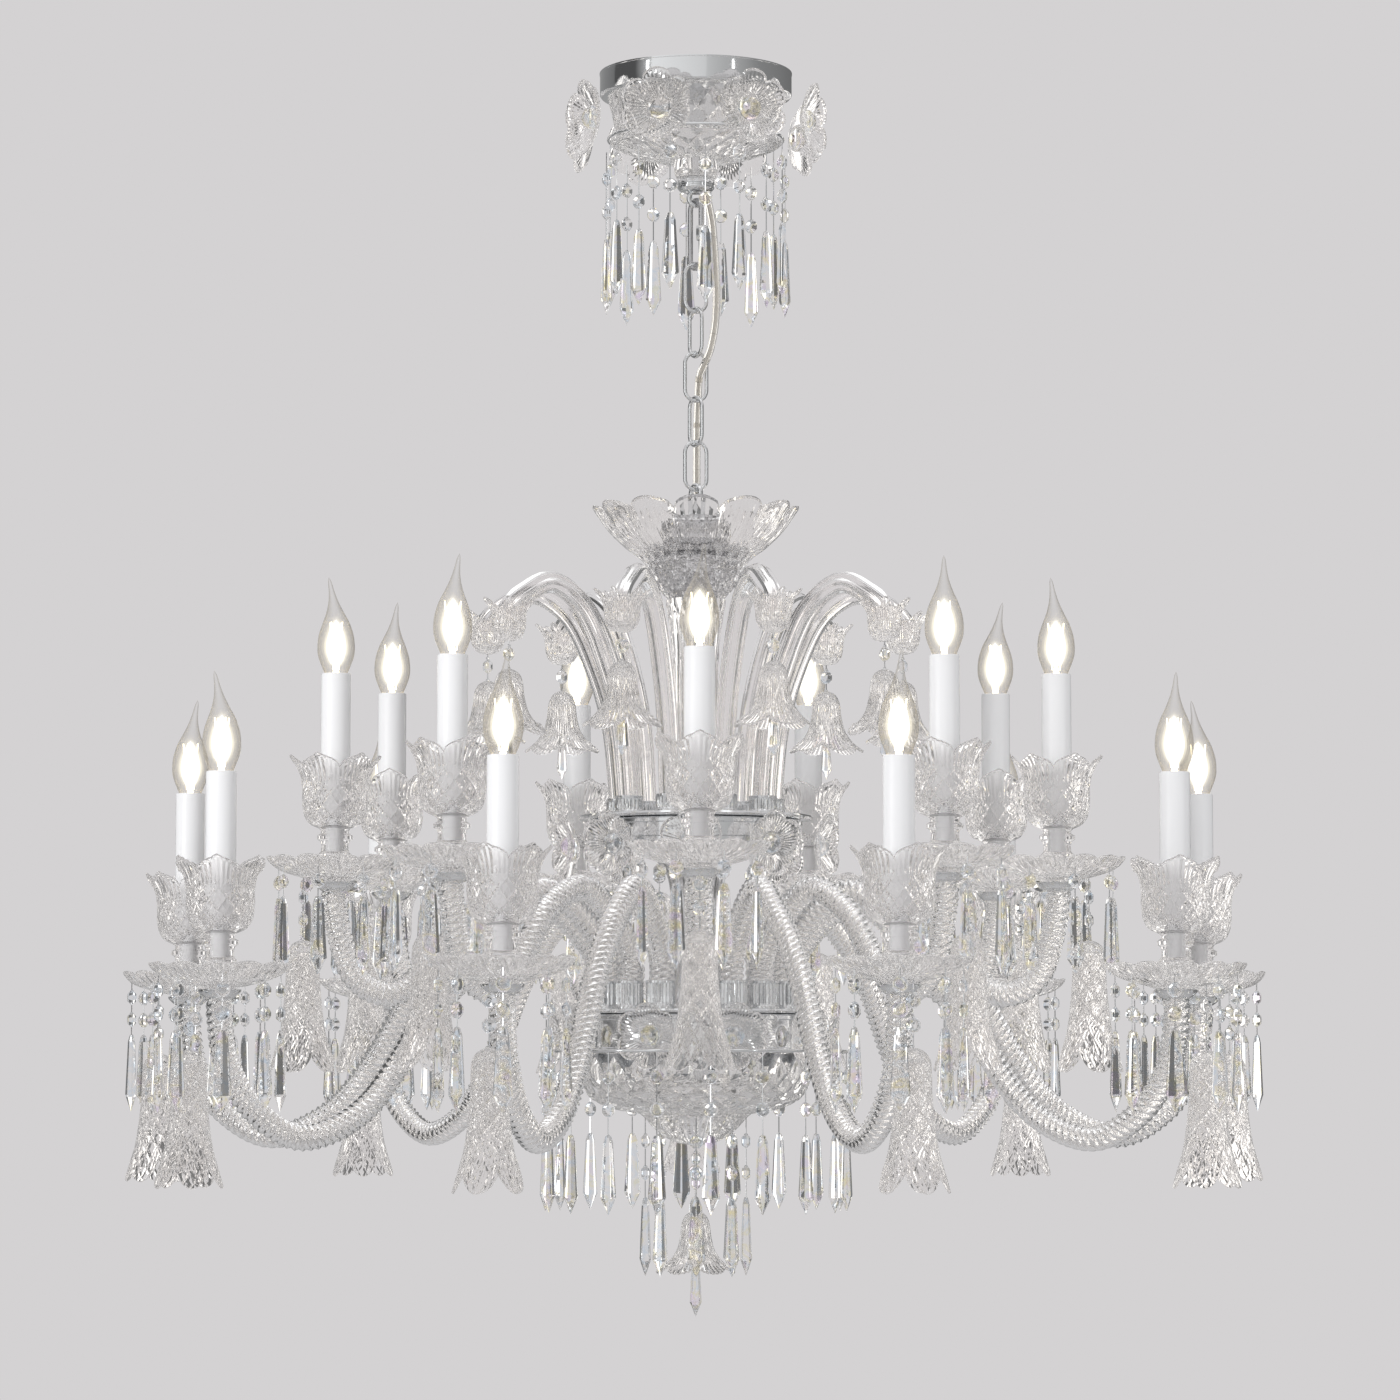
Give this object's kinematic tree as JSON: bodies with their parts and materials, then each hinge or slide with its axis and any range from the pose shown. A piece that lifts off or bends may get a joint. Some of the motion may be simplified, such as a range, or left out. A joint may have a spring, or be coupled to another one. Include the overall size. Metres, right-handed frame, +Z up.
{
  "type": "crystal chandelier",
  "caption": "Two-tier crystal candle chandelier with twisted glass arms, cut glass cups, prisms and a glass ceiling canopy on a chain.",
  "frame": {"origin": "the point where the chandelier's axis meets the ceiling, in the plane of the bracket's top face", "axes": "+Z up, -Y to the front, +X to the right as seen from the front"},
  "size_m": [1.0826, 1.0695, 1.1737],
  "materials": {
    "chrome": "polished",
    "steel": "satin",
    "crystal": "clear, cut and polished",
    "lamp": "clear cut glass with a gloss white sleeve",
    "cable": "clear"
  },
  "bodies": {
    "ceiling_set": {"ceiling_bracket": "steel", "canopy_shell": "chrome", "canopy_glass_bowl": "crystal", "canopy_drop_ring": "crystal", "canopy_hub": "chrome", "power_cable": "cable"},
    "quick_link": {"quick_link": "steel"},
    "quick_link_sleeve": {"quick_link_sleeve": "steel"},
    "chain_link_1": {"chain_link_1": "chrome"},
    "chain_link_2": {"chain_link_2": "chrome"},
    "chain_link_3": {"chain_link_3": "chrome"},
    "chain_link_4": {"chain_link_4": "chrome"},
    "chain_link_5": {"chain_link_5": "chrome"},
    "chandelier": {"centre_stem": "chrome", "top_bowl": "crystal", "upper_column": "crystal", "crook_tray": "crystal", "upper_flower_band": "chrome", "middle_column": "crystal", "lower_tray": "chrome", "lower_flower_band": "chrome", "cut_crystal_bowl": "crystal", "bottom_dish": "crystal", "upper_arm_1": "crystal", "upper_arm_2": "crystal", "upper_arm_3": "crystal", "upper_arm_4": "crystal", "upper_arm_5": "crystal", "upper_arm_6": "crystal", "upper_arm_7": "crystal", "upper_arm_8": "crystal", "upper_arm_9": "crystal", "lower_arm_1": "crystal", "lower_arm_2": "crystal", "lower_arm_3": "crystal", "lower_arm_4": "crystal", "lower_arm_5": "crystal", "lower_arm_6": "crystal", "lower_arm_7": "crystal", "lower_arm_8": "crystal", "lower_arm_9": "crystal", "upper_lamp_1": "lamp", "upper_lamp_2": "lamp", "upper_lamp_3": "lamp", "upper_lamp_4": "lamp", "upper_lamp_5": "lamp", "upper_lamp_6": "lamp", "upper_lamp_7": "lamp", "upper_lamp_8": "lamp", "upper_lamp_9": "lamp", "lower_lamp_1": "lamp", "lower_lamp_2": "lamp", "lower_lamp_3": "lamp", "lower_lamp_4": "lamp", "lower_lamp_5": "lamp", "lower_lamp_6": "lamp", "lower_lamp_7": "lamp", "lower_lamp_8": "lamp", "lower_lamp_9": "lamp"},
    "bottom_pendant": {"bottom_pendant": "crystal"}
  },
  "joints": [
    {"name": "quick_link_swing", "type": "hinge", "parent": "ceiling_set", "child": "quick_link", "pos_m": [0, 0, -0.1265], "axis": [0.9511, 0.309, 0], "range_deg": [-12, 12], "deforming": ["power_cable"]},
    {"name": "chain_link_1_swing", "type": "hinge", "parent": "quick_link", "child": "chain_link_1", "pos_m": [0, 0, -0.1865], "axis": [0.5299, -0.848, 0], "range_deg": [-12, 12], "deforming": ["power_cable"]},
    {"name": "chain_link_2_swing", "type": "hinge", "parent": "chain_link_1", "child": "chain_link_2", "pos_m": [0, 0, -0.22825], "axis": [0.9511, 0.309, 0], "range_deg": [-12, 12], "deforming": ["power_cable"]},
    {"name": "chain_link_3_swing", "type": "hinge", "parent": "chain_link_2", "child": "chain_link_3", "pos_m": [0, 0, -0.27075], "axis": [0.5299, -0.848, 0], "range_deg": [-12, 12], "deforming": ["power_cable"]},
    {"name": "chain_link_4_swing", "type": "hinge", "parent": "chain_link_3", "child": "chain_link_4", "pos_m": [0, 0, -0.31325], "axis": [0.9511, 0.309, 0], "range_deg": [-12, 12], "deforming": ["power_cable"]},
    {"name": "chain_link_5_swing", "type": "hinge", "parent": "chain_link_4", "child": "chain_link_5", "pos_m": [0, 0, -0.35575], "axis": [0.5299, -0.848, 0], "range_deg": [-12, 12], "deforming": ["power_cable"]},
    {"name": "chandelier_swing", "type": "hinge", "parent": "chain_link_5", "child": "chandelier", "pos_m": [0, 0, -0.39825], "axis": [0.9511, 0.309, 0], "range_deg": [-12, 12], "deforming": ["power_cable"]},
    {"name": "sleeve_screw", "type": "slide", "parent": "quick_link", "child": "quick_link_sleeve", "axis": [0, 0, 1], "range_m": [0, 0.011]},
    {"name": "pendant_swing", "type": "hinge", "parent": "chandelier", "child": "bottom_pendant", "pos_m": [0, 0, -1.01355], "axis": [1, 0, 0], "range_deg": [-3, 3]}
  ]
}
